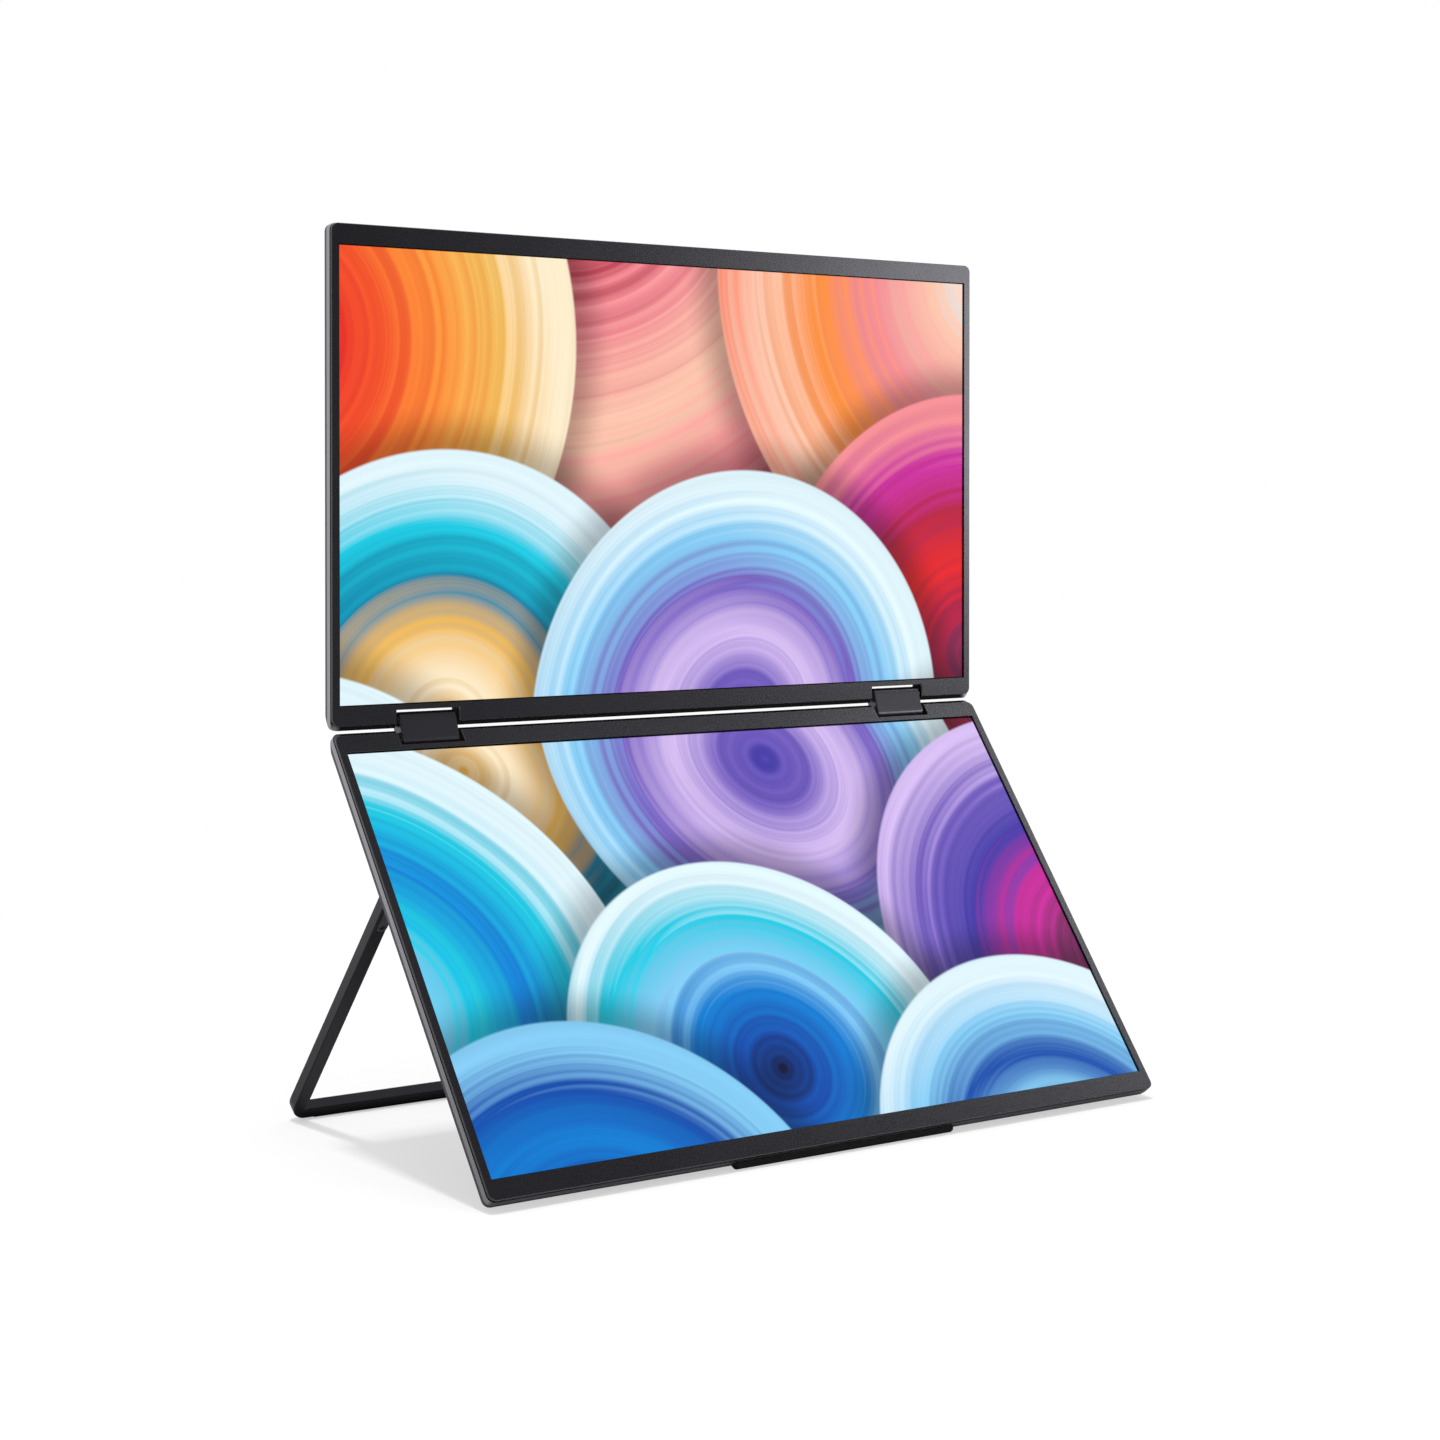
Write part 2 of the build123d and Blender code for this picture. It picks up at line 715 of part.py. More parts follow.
# Pieces that both panels have
for panel, face in (("lower", lower_face), ("upper", upper_face)):
    keep(front_bezel(face), panel + "_front_bezel")
    glass_near = screen_from_line - lcd_overlap
    glass_far = screen_far + lcd_overlap
    keep(flat_plate(face, bezel_thickness, lcd_thickness, lcd_width, glass_near, glass_far),
         panel + "_lcd_panel")
    keep(flat_plate(face, backlight_depth, backlight_thickness, lcd_width, glass_near, glass_far),
         panel + "_backlight")
    keep(flat_plate(face, backlight_depth, backlight_thickness, lcd_width - 2 * light_bar_end_gap,
                    glass_far, glass_far + light_bar_width), panel + "_light_bar")
    keep(driver_board(face), panel + "_driver_board")
    for name, side in (("left", -1), ("right", 1)):
        # the upper face's own x runs the other way
        face_side = side if panel == "lower" else -side
        keep(hinge_leaf(face, face_side), panel + "_" + name + "_hinge_leaf")
    keep(hinge_shafts(face), panel + "_hinge_shafts")
    keep(leaf_screws(face), panel + "_hinge_screws")

# Hinge blocks with their friction clips and washers
for name, side in (("left", -1), ("right", 1)):
    keep(hinge_block(side), name + "_hinge_block")
clip_start_x = block_outer_x - clip_length - shaft_end_gap
keep(rings(clip_start_x, clip_length, clip_inner_radius, clip_outer_radius, clip_slit), "friction_clips")
washer_inner_radius = shaft_radius + running_clearance
keep(rings(block_outer_x, washer_thickness, washer_inner_radius, washer_inner_radius + washer_wall, 0),
     "hinge_washers")

# Rubber foot strip, its lowest corner cut flat on the table
with BuildPart() as foot_strip:
    with BuildSketch(lower_face.offset(foot_depth)):
        with BuildLine():
            root_edge = shell_far_edge - foot_root
            tip_edge = shell_far_edge + foot_height
            tip_half = foot_length / 2 - foot_end_slope
            Polyline(
                (-foot_length / 2, root_edge),
                (foot_length / 2, root_edge),
                (foot_length / 2, shell_far_edge),
                (tip_half, tip_edge),
                (-tip_half, tip_edge),
                (-foot_length / 2, shell_far_edge),
                close=True,
            )
        make_face()
    extrude(amount=foot_width)
    split(bisect_by=table, keep=Keep.TOP)
keep(foot_strip, "foot_strip")

# Electronics housing: a shallow box with posts for its screws and for the main board
with BuildPart() as electronics_housing:
    with BuildSketch(lower_face.offset(panel_thickness)):
        with Locations((0, housing_middle)):
            RectangleRounded(housing_width, housing_length, housing_corner)
    extrude(amount=housing_height)
    housing_depth_axis = Axis(lower_face.origin, lower_face.z_dir)
    chamfer(electronics_housing.faces().sort_by(housing_depth_axis)[-1].edges(), housing_edge)
    with BuildSketch(lower_face.offset(panel_thickness)):
        with Locations((0, housing_middle)):
            RectangleRounded(
                housing_width - 2 * housing_wall,
                housing_length - 2 * housing_wall,
                housing_corner - housing_wall,
            )
    extrude(amount=roof_depth - panel_thickness, mode=Mode.SUBTRACT)
    with BuildSketch(lower_face.offset(panel_thickness)):
        with Locations(*cover_screw_places()):
            Circle(housing_post_radius)
    extrude(amount=roof_depth - panel_thickness)
    with BuildSketch(lower_face.offset(board_back_depth)):
        with Locations(*board_post_places()):
            Circle(board_post_radius)
    extrude(amount=roof_depth - board_back_depth)
    cut_holes(lower_face.offset(panel_thickness), cover_screw_places(), cover_screw_radius + seat_clearance,
              housing_height)
    cut_holes(lower_face.offset(panel_thickness + housing_height - cover_head_height), cover_screw_places(),
              cover_head_radius + seat_clearance, cover_head_height)
    # slots in the roof that let the main board's heat out
    with BuildSketch(lower_face.offset(roof_depth)):
        with Locations((board_middle_x, board_middle)):
            with GridLocations(vent_pitch, vent_length, vent_count, 1):
                Rectangle(vent_width, vent_length)
    extrude(amount=housing_roof, mode=Mode.SUBTRACT)
    # openings of the sockets
    with BuildSketch(side_plane(lower_face, housing_half - housing_wall)):
        with Locations(*[(place, board_back_depth + usb_height / 2) for place in usb_places]):
            RectangleRounded(
                usb_width + 2 * port_opening_gap,
                usb_height + 2 * port_opening_gap,
                usb_corner_share * usb_height,
            )
        with Locations((hdmi_place, board_back_depth + hdmi_height / 2)):
            Rectangle(hdmi_width + 2 * port_opening_gap, hdmi_height + 2 * port_opening_gap)
    extrude(amount=housing_wall, mode=Mode.SUBTRACT)
    # openings of the buttons
    with BuildSketch(side_plane(lower_face, -housing_half)):
        with Locations(*[(place, button_depth) for place in button_places.values()]):
            RectangleRounded(
                button_length + 2 * button_gap,
                button_width + 2 * button_gap,
                button_corner_share * button_width,
            )
    extrude(amount=housing_wall, mode=Mode.SUBTRACT)
keep(electronics_housing, "electronics_housing")

cover_head_plane = lower_face.offset(panel_thickness + housing_height)
cover_into_panel = Plane(origin=cover_head_plane.origin, x_dir=(1, 0, 0), z_dir=-cover_head_plane.z_dir)
cover_places = [(x, -y) for x, y in cover_screw_places()]
cover_bite = housing_height - cover_head_height + shell_floor
housing_screws = screws(cover_into_panel, cover_places, cover_screw_radius, cover_head_radius,
                        cover_head_height, cover_bite)
keep(housing_screws, "housing_screws")

# Main board on the housing's posts
with BuildPart() as main_board:
    with BuildSketch(lower_face.offset(board_depth)):
        with Locations((board_middle_x, board_middle)):
            Rectangle(board_length, board_width)
    extrude(amount=board_thickness)
    with BuildSketch(lower_face.offset(board_back_depth)):
        for place_x, place_y, size in board_chip_shares:
            with Locations((board_middle_x + place_x * board_length, board_middle + place_y * board_width)):
                Rectangle(size * board_length, size * board_length)
    extrude(amount=board_chip_height)
keep(main_board, "main_board")

# Sockets on the main board
port_plane = side_plane(lower_face, housing_half - port_recess)
port_back_plane = side_plane(lower_face, housing_half - port_recess - port_length)
usb_spots = [(place, board_back_depth + usb_height / 2) for place in usb_places]
with BuildPart() as usb_c_ports:
    with BuildSketch(port_plane):
        with Locations(*usb_spots):
            RectangleRounded(usb_width, usb_height, usb_corner_share * usb_height)
    extrude(amount=-port_length)
    with BuildSketch(port_plane):
        with Locations(*usb_spots):
            usb_hole_height = usb_height - 2 * usb_wall
            RectangleRounded(usb_width - 2 * usb_wall, usb_hole_height, usb_corner_share * usb_hole_height)
    extrude(amount=-(port_length - port_back), mode=Mode.SUBTRACT)
    with BuildSketch(port_back_plane):
        with Locations(*usb_spots):
            Rectangle(usb_tongue_width, usb_tongue_height)
    extrude(amount=port_length - usb_tongue_setback)
keep(usb_c_ports, "usb_c_ports")

with BuildPart() as mini_hdmi_port:
    with BuildSketch(port_plane):
        with Locations((hdmi_place, board_back_depth + hdmi_height / 2)):
            Trapezoid(hdmi_width, hdmi_height, hdmi_side_angle)
    extrude(amount=-port_length)
    with BuildSketch(port_plane):
        with Locations((hdmi_place, board_back_depth + hdmi_height / 2)):
            Trapezoid(hdmi_width - 2 * hdmi_side_inset, hdmi_height - 2 * hdmi_wall, hdmi_side_angle)
    extrude(amount=-(port_length - port_back), mode=Mode.SUBTRACT)
    with BuildSketch(port_back_plane):
        with Locations((hdmi_place, board_back_depth + hdmi_height / 2)):
            Rectangle(hdmi_tongue_width, hdmi_tongue_height)
    extrude(amount=port_length - usb_tongue_setback)
keep(mini_hdmi_port, "mini_hdmi_port")

# Buttons and the board with their switches
button_inner_x = -housing_half + housing_wall
for button_name, button_place in button_places.items():
    with BuildPart() as button:
        with BuildSketch(side_plane(lower_face, -housing_half - button_proud)):
            with Locations((button_place, button_depth)):
                RectangleRounded(button_length, button_width, button_corner_share * button_width)
        extrude(amount=button_proud + housing_wall)
        chamfer(button.faces().sort_by(Axis.X)[0].edges(), button_edge)
        with BuildSketch(side_plane(lower_face, button_inner_x)):
            with Locations((button_place, button_depth)):
                Rectangle(button_length + 2 * button_flange, button_width + 2 * button_flange)
        extrude(amount=button_flange_thickness)
    keep(button, button_name)

switch_x = button_inner_x + button_flange_thickness + button_travel + button_switch_gap
with BuildPart() as button_board:
    first_place = min(button_places.values()) - button_length / 2 - button_board_margin
    last_place = max(button_places.values()) + button_length / 2 + button_board_margin
    with BuildSketch(side_plane(lower_face, switch_x + switch_height)):
        with Locations(((first_place + last_place) / 2, (board_depth + roof_depth) / 2)):
            Rectangle(last_place - first_place, roof_depth - board_depth)
    extrude(amount=button_board_thickness)
    with BuildSketch(side_plane(lower_face, switch_x)):
        with Locations(*[(place, button_depth) for place in button_places.values()]):
            Rectangle(switch_size, switch_size)
    extrude(amount=switch_height)
keep(button_board, "button_board")

# Stand hinges
for name, side in (("left", -1), ("right", 1)):
    keep(stand_base(side), name + "_stand_base")
    keep(stand_leaf(side), name + "_stand_leaf")

with BuildPart() as stand_pins:
    for side in (-1, 1):
        with BuildSketch(stand_side_plane(side * (stand_lug_end_x - stand_lug_length))):
            Circle(stand_pin_radius)
        extrude(amount=side * (stand_leaf_end_x - stand_leaf_clearance - stand_lug_end_x + stand_lug_length))
keep(stand_pins, "stand_pins")

base_head_depth = panel_thickness + stand_base_thickness + small_head_height
base_head_plane = Plane(
    origin=lower_face.offset(base_head_depth).origin, x_dir=(1, 0, 0), z_dir=-lower_face.z_dir)
base_places = [(x, -y) for side in (-1, 1) for x, y in base_screw_places(side)]
base_bite = stand_base_thickness + shell_floor
stand_base_screws = screws(base_head_plane, base_places, small_screw_radius, small_head_radius,
                           small_head_height, base_bite)
keep(stand_base_screws, "stand_base_screws")

leaf_places = stand_leaf_screw_places(-1) + stand_leaf_screw_places(1)
stand_leaf_screws = screws(stand_front, leaf_places, small_screw_radius, stand_head_radius,
                           stand_head_height, small_screw_bite)
keep(stand_leaf_screws, "stand_leaf_screws")

# Stand frame, cut away for its leaves, its screws and its foot strip
strip_half = stand_inner_x - stand_strip_inset
flat_bar = stand_u()
arm_ends = [stand_arm_end(side) for side in (-1, 1)]
with BuildPart() as kickstand_frame:
    add(flat_bar.part)
    for arm_end in arm_ends:
        add(arm_end.part)
    for side in (-1, 1):
        with BuildSketch(stand_front.offset(-overrun)):
            draw_stand_leaf(side, -stand_thickness, stand_leaf_clearance)
        extrude(amount=overrun + stand_leaf_thickness, mode=Mode.SUBTRACT)
        with BuildSketch(stand_front):
            with Locations((side * stand_leaf_middle_x, 0)):
                Rectangle(stand_leaf_end_x - stand_inner_x, 2 * (stand_barrel_radius + stand_gap))
        extrude(amount=stand_thickness, mode=Mode.SUBTRACT)
        cut_holes(stand_front, stand_leaf_screw_places(side), small_screw_radius + seat_clearance,
                  stand_head_height + small_screw_bite)
    with BuildSketch(stand_front):
        with Locations((0, stand_length)):
            Rectangle(2 * strip_half, 2 * stand_strip_width)
    extrude(amount=stand_strip_thickness, mode=Mode.SUBTRACT)
    split(bisect_by=table.offset(stand_trim), keep=Keep.TOP)
keep(kickstand_frame, "kickstand_frame")

with BuildPart() as stand_foot_strip:
    with BuildSketch(stand_front):
        with Locations((0, stand_length - stand_strip_width / 2)):
            Rectangle(2 * strip_half, stand_strip_width)
    extrude(amount=stand_strip_thickness)
    split(bisect_by=table, keep=Keep.TOP)
keep(stand_foot_strip, "stand_foot_strip")

# Stand the finished pieces on Z = 0, centred on the middle of their common box
boxes = [piece.bounding_box() for piece in pieces]
middle_x = (min(box.min.X for box in boxes) + max(box.max.X for box in boxes)) / 2
middle_y = (min(box.min.Y for box in boxes) + max(box.max.Y for box in boxes)) / 2
home = Location((-middle_x, -middle_y, -table_z))

os.makedirs("parts", exist_ok=True)
for piece in pieces:
    placed = piece.moved(home)
    placed.label = piece.label
    export_step(placed, "parts/" + piece.label + ".step")

# Places of the axles, the resting faces and the sockets in the finished frame
places = {
    "lower axle": (0, lower_axle_y, lower_axle_z),
    "upper axle": (0, upper_axle_y, upper_axle_z),
    "stand pivot": (0, stand_pivot_y, stand_pivot_z),
    "foot face": foot_strip.faces().sort_by(Axis.Z)[0].center(),
    "stand face": stand_foot_strip.faces().sort_by(Axis.Z)[0].center(),
    "hinge line": (0, 0, 0),
}
for number, (place, depth) in enumerate(usb_spots, start=1):
    places["usb c " + str(number)] = port_plane.from_local_coords((place, depth, 0))
places["mini hdmi"] = port_plane.from_local_coords((hdmi_place, board_back_depth + hdmi_height / 2, 0))
for name, place in places.items():
    x, y, z = Vector(place) - Vector(middle_x, middle_y, table_z)
    print(name, round(x, 4), round(y, 4), round(z, 4))
print("stand swing from straight down", round(degrees(stand_swing), 4))
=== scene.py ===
"""Finishes, sharp panel corners, studio floor, light and camera for a dual-screen portable monitor.

Lengths are in metres, with +Z up.
"""
import json
import math
from collections import namedtuple

import bmesh
import bpy
from mathutils import Color, Euler, Matrix, Vector


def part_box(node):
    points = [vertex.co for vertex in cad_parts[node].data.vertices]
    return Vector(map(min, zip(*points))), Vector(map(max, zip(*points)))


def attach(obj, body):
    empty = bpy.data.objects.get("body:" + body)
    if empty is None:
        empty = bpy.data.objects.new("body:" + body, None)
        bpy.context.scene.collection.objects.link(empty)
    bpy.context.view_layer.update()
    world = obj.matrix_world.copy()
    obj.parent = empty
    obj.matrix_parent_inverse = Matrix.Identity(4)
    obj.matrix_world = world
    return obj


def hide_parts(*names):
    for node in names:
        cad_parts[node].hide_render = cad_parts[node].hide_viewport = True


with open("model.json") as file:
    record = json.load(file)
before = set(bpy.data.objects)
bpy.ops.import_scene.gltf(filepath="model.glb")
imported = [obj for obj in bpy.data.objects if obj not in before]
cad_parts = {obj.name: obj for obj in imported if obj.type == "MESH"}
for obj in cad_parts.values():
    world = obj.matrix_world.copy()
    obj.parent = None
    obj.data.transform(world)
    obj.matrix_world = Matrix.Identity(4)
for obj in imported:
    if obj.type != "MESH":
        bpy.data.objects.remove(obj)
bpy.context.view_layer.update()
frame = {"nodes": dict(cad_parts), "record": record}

# Photograph: its width, the focal length and the row of the optical axis, in pixels, and the camera's
# place from the hinge line, where the front planes of the two panels meet, its turn and its dip
photo_width_px = 1440
focal_length_px = 2714.5
optical_axis_row_px = 540
camera_from_line = Vector((-0.7088, -1.0168, 0.0934))
camera_turn = math.radians(35.78)
camera_dip = math.radians(0.65)
sensor_width_mm = 36.0

# Fine textures: the size of their features, the height of their bumps and their octaves of finer noise
Grain = namedtuple("Grain", "size depth detail")
eroded = Grain(size=0.00045, depth=0.000006, detail=3.0)
blasted = Grain(size=0.00025, depth=0.00001, detail=3.0)
pebbled = Grain(size=0.0008, depth=0.00004, detail=3.0)
brushed = Grain(size=0.0002, depth=0.000006, detail=4.0)
plated = Grain(size=0.0002, depth=0.000006, detail=3.0)
anti_glare = Grain(size=0.00012, depth=0.000004, detail=2.0)
cloud_size = 0.03

# The dark finishes are a little blue, in their colour and in their gloss
cool_tint = 1.4
cool_gloss = (0.90, 0.90, 1.0, 1.0)

# Display glass: its distance from the hinge line, and the border round the lit area that stays black
glass_from_line = 0.00954
glass_border = 0.0012
lit_edge_softness = 0.00008
glass_tone = 0.004
glass_roughness = 0.42
glass_specular = 0.08

# Grained plastic: the grain's share in its tone, beside the clouds, and how far both swing its roughness
plastic_grain_share = 0.6
plastic_grain_swing = 0.16
plastic_cloud_swing = 0.06

# Edge break round the front bezel, with a painted highlight that makes it a little lighter than its face
edge_break_depth = 0.00025
edge_break_softness = 0.00002
painted_edge_highlight_tone = 0.055

# Panel corners: their radius in the CAD shells and bezels, and the share of it that the photograph shows
shell_corner = 0.0055
bezel_corner = 0.0054
sharp_corner_share = 0.6
weld_distance = 0.000001
smooth_angle = math.radians(20)

# Rear shell: dark blasted metal
shell_tones = (0.022, 0.030)
shell_grain_share = 0.5
shell_roughness = 0.46
shell_grain_swing = 0.1
shell_specular = 0.4

# Bright band round the rear shell, down to a depth behind the middle of the display glass; on the edge
# that has the hinges it fades out just round the corners
band_rear_depth = 0.0029
band_softness = 0.00008
band_end_softness = 0.002
band_tone = 0.30
band_tint = 1.03
band_roughness = 0.32

# Walls of the rear shell at the hinges, down to a depth behind the middle of the display glass, painted
# near black and matt as shade between the panels
painted_shade_wall_depth = 0.0046
painted_shade_wall_tone = 0.002
painted_shade_wall_roughness = 0.91

# Brushed metal: the length of its marks beside their width, and the swing of its tone and its roughness
brush_stretch = 40.0
brush_tone_swing = 0.15
brush_swing = 0.2
brush_cloud_swing = 0.1

# Rubber of the feet
rubber_tones = (0.006, 0.012)
rubber_roughness = 0.78
rubber_swing = 0.2
rubber_specular = 0.25

# Circuit boards: solder mask over copper traces, and the patches in which the traces run one way; a wave
# texture goes through 20 radians in each unit of its scale
solder_mask_colour = (0.006, 0.045, 0.020, 1.0)
solder_mask_roughness = 0.38
trace_colour = (0.020, 0.120, 0.045, 1.0)
trace_roughness = 0.30
trace_pitch = 0.00754
trace_depth = 0.000006
trace_edges = (0.55, 0.70)
patch_size = 0.006
patch_edges = (0.48, 0.52)
wave_radians = 20

# Light guides: white film with a lattice of dots
film_colour = (0.70, 0.73, 0.76, 1.0)
film_roughness = 0.22
dot_colour = (0.86, 0.87, 0.88, 1.0)
dot_roughness = 0.52
dot_pitch = 0.0016
dot_scatter = 0.1
dot_edges = (0.30, 0.22)

# Light bars: white strip with a row of lamps, and the shares of their pitch that place and size them
strip_tone = 0.75
strip_roughness = 0.5
lamp_colour = (0.80, 0.55, 0.08, 1.0)
lamp_roughness = 0.3
lamp_pitch = 0.007
lamp_middle_share = 0.5
lamp_half_share = 0.25
lamp_edge_share = 0.02

# Sockets: plated shells, and the tongues in them, with half their width, which runs up the panel, and
# half their thickness
plating_tone = 0.55
plating_roughness = 0.26
plating_swing = 0.1
tongue_tone = 0.012
tongue_roughness = 0.51
tongue_softness = 0.00003
usb_tongue_half = (0.0034, 0.0004)
hdmi_tongue_half = (0.0039, 0.00035)

# Floor: how far out it keeps the shadow, how widely it then fades to white, how much of that white it has
# near the object too, and how much darker it is in gloss
floor_radius = 12.0
floor_sides = 96
floor_shadow_reach = 0.40
floor_fade_width = 0.35
floor_white_share = 0.50
floor_albedo = 0.96
floor_gloss_loss = 0.41

# Studio: its even light, and the tone that gloss shows in front of the object, turning white behind it
ambient_level = 0.70
front_gloss_level = 0.10
floor_gloss_level = 0.26
gloss_front_y = -0.30
gloss_white_y = 0.10

# Colours of the screens' picture, as sRGB
palette = {
    "red": (0.90, 0.13, 0.15),
    "scarlet": (0.96, 0.33, 0.16),
    "orange": (0.99, 0.56, 0.22),
    "gold": (0.95, 0.74, 0.36),
    "cream": (1.00, 0.93, 0.80),
    "peach": (0.99, 0.78, 0.68),
    "rose": (0.95, 0.55, 0.58),
    "crimson": (0.72, 0.10, 0.26),
    "plum": (0.45, 0.17, 0.36),
    "magenta": (0.80, 0.16, 0.62),
    "lilac": (0.84, 0.74, 0.95),
    "violet": (0.47, 0.38, 0.76),
    "indigo": (0.26, 0.22, 0.66),
    "ice": (0.88, 0.96, 0.99),
    "sky": (0.52, 0.80, 0.96),
    "cyan": (0.10, 0.80, 0.90),
    "teal": (0.03, 0.52, 0.66),
    "azure": (0.03, 0.50, 0.84),
    "cobalt": (0.05, 0.30, 0.68),
    "navy": (0.03, 0.07, 0.24),
}

# Overlapping fans of the picture, back to front: the middle of each fan across and up and its radius,
# in screen heights from the bottom of the lower screen, and its colours from the middle to the rim
fan_shares = (
    (-0.30, 2.30, 1.06, ("plum", "crimson", "rose", "peach", "rose", "crimson")),
    (0.98, 2.02, 0.86, ("ice", "peach", "rose", "orange", "peach", "scarlet")),
    (-1.08, 1.80, 0.80, ("crimson", "red", "scarlet", "orange", "gold", "cream")),
    (0.92, 1.06, 0.66, ("plum", "crimson", "red", "crimson", "magenta", "rose")),
    (-0.62, 0.94, 0.62, ("gold", "cream", "gold", "teal", "cyan", "ice")),
    (0.20, 0.92, 0.60, ("indigo", "violet", "lilac", "violet", "sky", "ice")),
    (1.02, 0.30, 0.70, ("magenta", "plum", "magenta", "indigo", "violet", "lilac")),
    (-1.05, 0.40, 0.68, ("ice", "sky", "cyan", "azure", "cyan", "ice")),
    (-0.10, 0.14, 0.52, ("navy", "cobalt", "azure", "sky", "cyan", "ice")),
    (0.62, -0.22, 0.56, ("lilac", "violet", "sky", "cobalt", "sky", "ice")),
    (-0.66, -0.26, 0.58, ("cobalt", "navy", "cobalt", "azure", "cobalt", "sky")),
)
backdrop_colours = ("navy", "cobalt", "cyan", "gold", "scarlet", "red")

# Edge of a fan and its shadow on the fans behind it, in screen heights, and the shadow's strength
fan_edge_share = 0.004
fan_shadow_share = 0.11
fan_shadow_depth = 0.5

# Streaks along the arcs: their number in a screen height, their weight in a fan's colours, the darkest
# and the range of their brightness, and the slow drift that keeps them from being true circles
streak_count = 34.0
streak_detail = 4.0
streak_offset = 10.0
streak_weight = 0.22
streak_dark = 0.86
streak_range = 0.28
drift_size_share = 0.9
drift_detail = 1.0
drift_weight = 3.0

# Slant of each fan's colours, which run on from its lower left to its upper right
slant_across = 0.6
slant_up = 0.8
slant_weight = 0.12


def linear(name):
    """A palette colour as a shader colour."""
    return (*Color(palette[name]).from_srgb_to_scene_linear(), 1.0)


def grey(level, tint=1.0):
    """A neutral shader colour, with its blue a little off if a tint is given."""
    return (level, level, level * tint, 1.0)


def greys(levels, tint=1.0):
    """Neutral shader colours for several levels."""
    return [grey(level, tint) for level in levels]


def even_stops(names):
    """Ramp stops of palette colours, spread evenly."""
    return [(number / (len(names) - 1), linear(name)) for number, name in enumerate(names)]


def swing(noise, amount):
    """Noise from 0 to 1 turned into a swing about zero."""
    return (noise - 0.5) * amount


def fade(first, second, mask):
    """The first number where the mask is 0, the second where it is 1."""
    return first + mask * (second - first)


class Wire:
    """An output socket; sums and products of wires add their Math nodes."""

    def __init__(self, finish, socket):
        self.finish = finish
        self.socket = socket

    def __add__(self, other):
        return self.finish.math("ADD", self, other)

    def __radd__(self, other):
        return self.finish.math("ADD", other, self)

    def __sub__(self, other):
        return self.finish.math("SUBTRACT", self, other)

    def __rsub__(self, other):
        return self.finish.math("SUBTRACT", other, self)

    def __mul__(self, other):
        return self.finish.math("MULTIPLY", self, other)

    def __rmul__(self, other):
        return self.finish.math("MULTIPLY", other, self)

    def __truediv__(self, other):
        return self.finish.math("DIVIDE", self, other)


class Finish:
    """A node tree under construction."""

    def __init__(self, tree):
        self.tree = tree
        tree.nodes.clear()

    def node(self, kind, settings, inputs, output=0):
        """Add a node: its settings first, then the values or wires of its sockets."""
        made = self.tree.nodes.new("ShaderNode" + kind)
        for name, value in settings.items():
            if name == "stops":
                self.set_stops(made.color_ramp.elements, value)
            else:
                setattr(made, name, value)
        for key, value in inputs.items():
            if isinstance(value, Wire):
                self.tree.links.new(value.socket, made.inputs[key])
            else:
                made.inputs[key].default_value = value
        return Wire(self, made.outputs[output]) if made.outputs else None

    @staticmethod
    def set_stops(elements, stops):
        """Give a colour ramp its stops, as pairs of place and colour."""
        while len(elements) < len(stops):
            elements.new(1.0)
        for element, (place, colour) in zip(elements, stops):
            element.position = place
            element.color = colour

    def math(self, operation, first, second=0.0):
        """A Math node."""
        return self.node("Math", {"operation": operation}, {0: first, 1: second})

    def place(self):
        """Object coordinates."""
        return self.node("TexCoord", {}, {}, "Object")

    def mapped(self, scale=(1.0, 1.0, 1.0), turn=0.0, shift=(0.0, 0.0, 0.0)):
        """Object coordinates scaled, turned about X and shifted."""
        inputs = {"Vector": self.place(), "Scale": scale, "Rotation": (turn, 0.0, 0.0), "Location": shift}
        return self.node("Mapping", {}, inputs)

    def parts(self, vector):
        """The three parts of a vector as wires."""
        split = self.node("SeparateXYZ", {}, {"Vector": vector}).socket.node
        return [Wire(self, output) for output in split.outputs]

    def mix(self, first, second, factor):
        """Mix two colours, whose sockets a Mix node has at 6 and 7."""
        return self.node("Mix", {"data_type": "RGBA"}, {0: factor, 6: first, 7: second}, 2)

    def dimmed(self, colour, factor):
        """A colour times a number."""
        return self.node("VectorMath", {"operation": "SCALE"}, {"Vector": colour, "Scale": factor})

    def between(self, value, low, high):
        """0 at low, 1 at high, smooth in between."""
        settings = {"interpolation_type": "SMOOTHSTEP"}
        return self.node("MapRange", settings, {"Value": value, "From Min": low, "From Max": high})

    def within(self, value, middle, half, softness):
        """1 within half a width of the middle, 0 outside."""
        off = self.math("ABSOLUTE", value - middle)
        return self.between(off, half + softness, half - softness)

    def ramp(self, value, stops):
        """Colour ramp over a value from 0 to 1."""
        return self.node("ValToRGB", {"stops": stops}, {"Fac": value})

    def noise(self, place, size, detail=2.0):
        """Noise from 0 to 1 with features of the given size."""
        return self.node("TexNoise", {}, {"Vector": place, "Scale": 1 / size, "Detail": detail})

    def cloud(self):
        """Faint clouds from 0 to 1."""
        return self.noise(self.place(), cloud_size)

    def bump(self, height, depth):
        """Normal of a surface that rises by the depth where the height is 1."""
        return self.node("Bump", {}, {"Height": height, "Distance": depth})

    def grain(self, place, grain):
        """Noise of a fine texture, and the normal of its bumps."""
        noise = self.noise(place, grain.size, grain.detail)
        return noise, self.bump(noise, grain.depth)

    def output(self, shader, kind="OutputMaterial"):
        """End of the tree."""
        self.node(kind, {}, {"Surface": shader})

    def surface(self, **sockets):
        """Principled surface; socket names have underscores for spaces."""
        inputs = {name.replace("_", " "): value for name, value in sockets.items()}
        self.output(self.node("BsdfPrincipled", {}, inputs))


def new_finish(name):
    """A new material and the tree that makes its look."""
    material = bpy.data.materials.new(name)
    material.use_nodes = True
    return material, Finish(material.node_tree)


